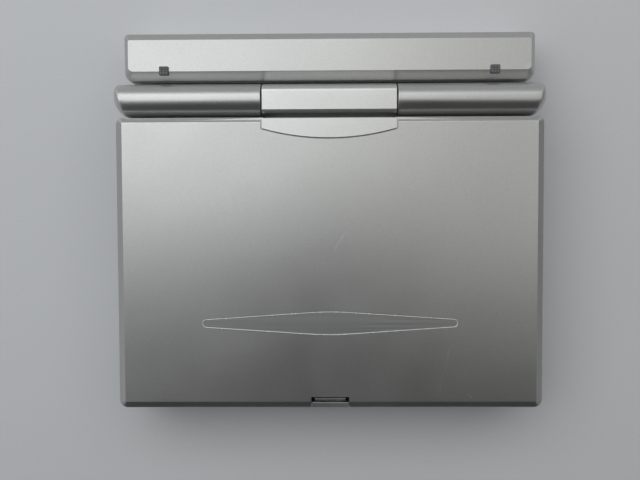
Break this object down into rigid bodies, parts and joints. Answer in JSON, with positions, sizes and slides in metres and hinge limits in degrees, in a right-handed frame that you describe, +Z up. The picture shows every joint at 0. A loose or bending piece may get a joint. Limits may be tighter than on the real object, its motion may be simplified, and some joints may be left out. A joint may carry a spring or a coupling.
{
  "type": "portable dvd player",
  "caption": "Folding portable disc player: lid with screen on a barrel hinge, base with disc drive and keys, clip-on battery bar.",
  "frame": {"origin": "under the middle of the whole object, on the surface it stands on", "axes": "+X along the hinge, +Y from the front latch to the battery bar, +Z up"},
  "size_m": [0.1964, 0.1706, 0.0353],
  "materials": {
    "silver_paint": "satin",
    "brushed_badge": "satin",
    "dark_plastic": "matte",
    "key_plastic": "satin",
    "foot_rubber": "matte",
    "bumper_rubber": "matte",
    "steel": "satin",
    "screen_glass": "gloss",
    "lens_glass": "polished",
    "white_plastic": "matte",
    "circuit_board": "satin",
    "cell_wrap": "gloss"
  },
  "bodies": {
    "base": {"base_lower_shell": "silver_paint", "base_upper_shell": "silver_paint", "hinge_barrel_left": "silver_paint", "hinge_barrel_right": "silver_paint", "friction_sleeve_left": "steel", "friction_sleeve_right": "steel", "main_board": "circuit_board", "headphone_jack_front": "dark_plastic", "headphone_jack_rear": "dark_plastic", "av_jack": "dark_plastic", "dc_jack": "dark_plastic", "foot_front_left": "foot_rubber", "foot_front_right": "foot_rubber", "foot_rear_left": "foot_rubber", "foot_rear_right": "foot_rubber", "case_screw_left": "steel", "case_screw_right": "steel", "disc_well": "dark_plastic", "drive_chassis": "steel", "spindle_motor": "steel", "guide_rod_front": "steel", "guide_rod_rear": "steel", "sled_motor": "steel"},
    "lid": {"lid_cover": "silver_paint", "lid_bezel": "dark_plastic", "lcd_panel": "screen_glass", "lcd_backlight": "white_plastic", "speaker_left": "dark_plastic", "speaker_right": "dark_plastic", "hinge_centre_housing": "silver_paint", "hinge_shield": "silver_paint", "hinge_pin_left": "steel", "hinge_pin_right": "steel", "lid_hinge_bracket": "steel", "badge_inlay": "brushed_badge", "inverter_board": "circuit_board", "latch_spring": "steel"},
    "latch": {"latch_button": "silver_paint"},
    "battery": {"battery_upper_shell": "silver_paint", "battery_lower_shell": "silver_paint", "battery_cell_left": "cell_wrap", "battery_cell_right": "cell_wrap", "battery_board": "circuit_board", "bumper_left": "bumper_rubber", "bumper_right": "bumper_rubber"},
    "disc_door": {"disc_door": "silver_paint"},
    "spindle": {"spindle_hub": "dark_plastic"},
    "sled": {"optical_sled": "dark_plastic", "objective_lens": "lens_glass"},
    "lead_screw": {"lead_screw": "steel"},
    "volume_wheel": {"volume_wheel": "dark_plastic"},
    "power_switch": {"power_switch": "key_plastic"},
    "nav_ring": {"nav_ring": "silver_paint"},
    "enter_button": {"enter_button": "key_plastic"},
    "play_button": {"play_button": "key_plastic"},
    "stop_button": {"stop_button": "key_plastic"},
    "previous_button": {"previous_button": "key_plastic"},
    "next_button": {"next_button": "key_plastic"},
    "door_button": {"door_button": "key_plastic"},
    "battery_release": {"battery_release": "key_plastic"}
  },
  "joints": [
    {"name": "lid_hinge", "type": "hinge", "parent": "base", "child": "lid", "pos_m": [0, 0.0543, 0.027], "axis": [-1, 0, 0], "range_deg": [0, 136]},
    {"name": "latch_press", "type": "slide", "parent": "lid", "child": "latch", "axis": [0, 1, 0], "range_m": [0, 0.0006], "stiffness_N_per_m": 1500},
    {"name": "door_hinge", "type": "hinge", "parent": "base", "child": "disc_door", "pos_m": [-0.028, 0.0442, 0.02], "axis": [-1, 0, 0], "range_deg": [0, 62]},
    {"name": "battery_slide", "type": "slide", "parent": "base", "child": "battery", "axis": [0, 1, 0], "range_m": [0, 0.03]},
    {"name": "release_slide", "type": "slide", "parent": "base", "child": "battery_release", "axis": [1, 0, 0], "range_m": [0, 0.003], "stiffness_N_per_m": 400},
    {"name": "spindle_spin", "type": "hinge", "parent": "base", "child": "spindle", "pos_m": [-0.028, -0.019, 0.0146], "axis": [0, 0, 1], "continuous": true},
    {"name": "sled_travel", "type": "slide", "parent": "base", "child": "sled", "axis": [1, 0, 0], "range_m": [0, 0.034]},
    {"name": "lead_screw_turn", "type": "hinge", "parent": "base", "child": "lead_screw", "pos_m": [-0.028, -0.043, 0.0074], "axis": [1, 0, 0], "range_deg": [0, 4081]},
    {"name": "volume_turn", "type": "hinge", "parent": "base", "child": "volume_wheel", "pos_m": [0.088, -0.0653, 0.0148], "axis": [0, 0, 1], "range_deg": [-135, 135]},
    {"name": "power_slide", "type": "slide", "parent": "base", "child": "power_switch", "axis": [0, 1, 0], "range_m": [0, 0.003]},
    {"name": "nav_press", "type": "slide", "parent": "base", "child": "nav_ring", "axis": [0, 0, -1], "range_m": [0, 0.0004], "stiffness_N_per_m": 2500},
    {"name": "enter_press", "type": "slide", "parent": "base", "child": "enter_button", "axis": [0, 0, -1], "range_m": [0, 0.0006], "stiffness_N_per_m": 2000},
    {"name": "play_press", "type": "slide", "parent": "base", "child": "play_button", "axis": [0, 0, -1], "range_m": [0, 0.0006], "stiffness_N_per_m": 2000},
    {"name": "stop_press", "type": "slide", "parent": "base", "child": "stop_button", "axis": [0, 0, -1], "range_m": [0, 0.0006], "stiffness_N_per_m": 2000},
    {"name": "previous_press", "type": "slide", "parent": "base", "child": "previous_button", "axis": [0, 0, -1], "range_m": [0, 0.0006], "stiffness_N_per_m": 2000},
    {"name": "next_press", "type": "slide", "parent": "base", "child": "next_button", "axis": [0, 0, -1], "range_m": [0, 0.0006], "stiffness_N_per_m": 2000},
    {"name": "door_press", "type": "slide", "parent": "base", "child": "door_button", "axis": [0, 0, -1], "range_m": [0, 0.0006], "stiffness_N_per_m": 2000}
  ],
  "couplings": [
    {"joint": "door_hinge", "follows": "lid_hinge", "ratio": 0.45},
    {"joint": "lead_screw_turn", "follows": "sled_travel", "rad_per_m": 2094.4}
  ]
}
